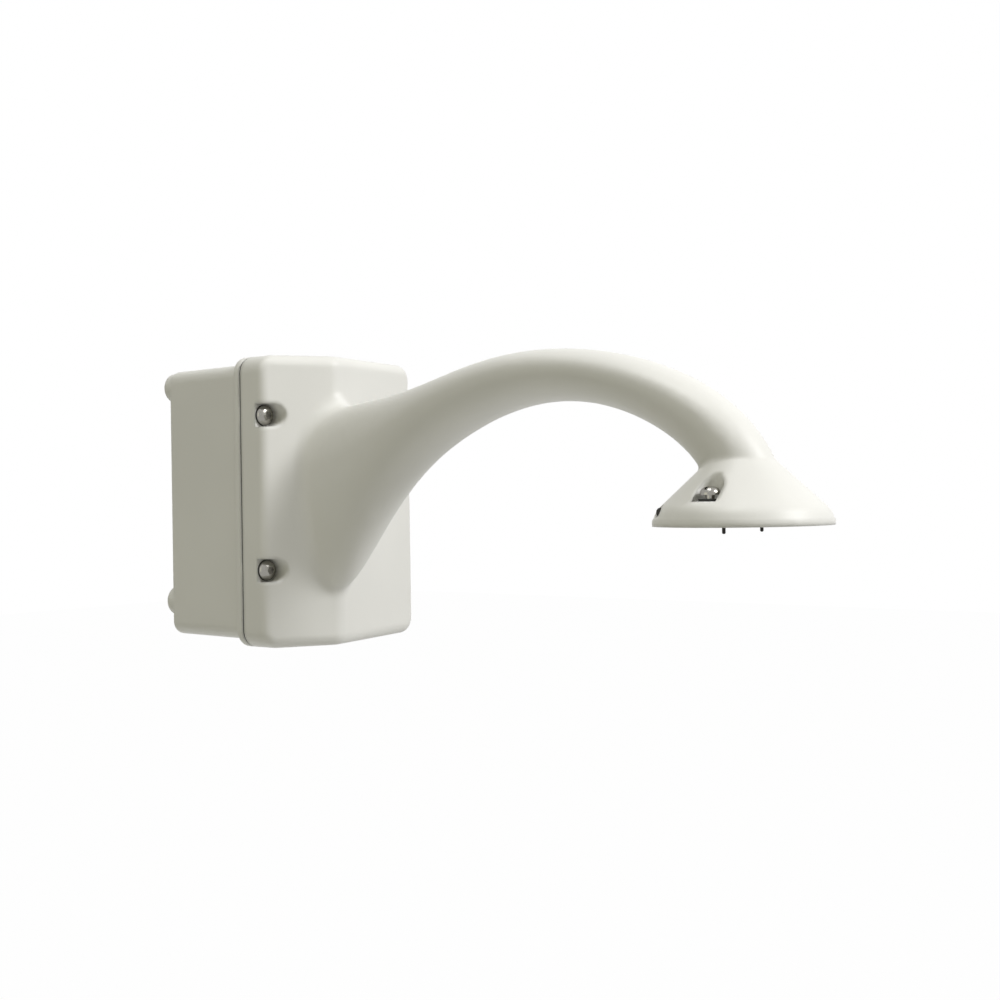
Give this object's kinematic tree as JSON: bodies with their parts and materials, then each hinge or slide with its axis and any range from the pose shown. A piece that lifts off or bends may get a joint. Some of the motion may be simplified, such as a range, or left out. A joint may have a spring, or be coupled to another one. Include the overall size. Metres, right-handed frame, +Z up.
{
  "type": "camera pendant mount",
  "caption": "Wall arm for a hanging dome camera: cast junction box, hinged cover that grows into a curved hollow arm, and a bell with captive screws.",
  "frame": {"origin": "centre of the four wall bolts, on the wall plane", "axes": "+Z up, +Y into the wall, +X towards the hinge side, so the arm reaches out along -Y"},
  "size_m": [0.1634, 0.5025, 0.2],
  "materials": {
    "box_paint": "pale warm grey powder coat, semi-matt",
    "arm_paint": "pale warm grey powder coat, semi-matt",
    "gasket": "black EPDM, matt",
    "pin_steel": "stainless, turned",
    "screw_steel": "polished stainless",
    "washer": "black, matt",
    "plate_steel": "stainless sheet",
    "black_plastic": "moulded, matt",
    "zinc_steel": "zinc plated",
    "plug_plastic": "moulded, matt",
    "board": "green solder mask",
    "green_plastic": "moulded, matt",
    "fuse_glass": "clear, with metal caps",
    "earth_brass": "plain"
  },
  "bodies": {
    "box": {"junction_box": "box_paint", "box_gasket": "gasket", "hinge_pin_upper": "pin_steel", "hinge_pin_lower": "pin_steel", "rear_entry_plug": "plug_plastic", "small_entry_plug": "plug_plastic", "interface_board": "board", "board_screws": "zinc_steel", "power_terminal": "green_plastic", "data_terminal": "green_plastic", "fuse_holder": "black_plastic", "fuse": "fuse_glass", "earth_screw": "earth_brass"},
    "arm": {"arm_casting": "arm_paint", "hook_pin": "pin_steel", "guide_pin_left": "pin_steel", "cover_screw_upper": "screw_steel", "bell_screw_left": "screw_steel", "cover_washer_upper": "washer", "bell_washer_left": "washer", "connector_plate": "plate_steel", "pendant_connector": "black_plastic", "plate_screws": "zinc_steel", "guide_pin_right": "pin_steel", "cover_screw_lower": "screw_steel", "bell_screw_right": "screw_steel", "cover_washer_lower": "washer", "bell_washer_right": "washer"}
  },
  "joints": [
    {"name": "arm_hinge", "type": "hinge", "parent": "box", "child": "arm", "pos_m": [0.08085, -0.0882, 0], "axis": [0, 0, 1], "range_deg": [0, 90]}
  ]
}
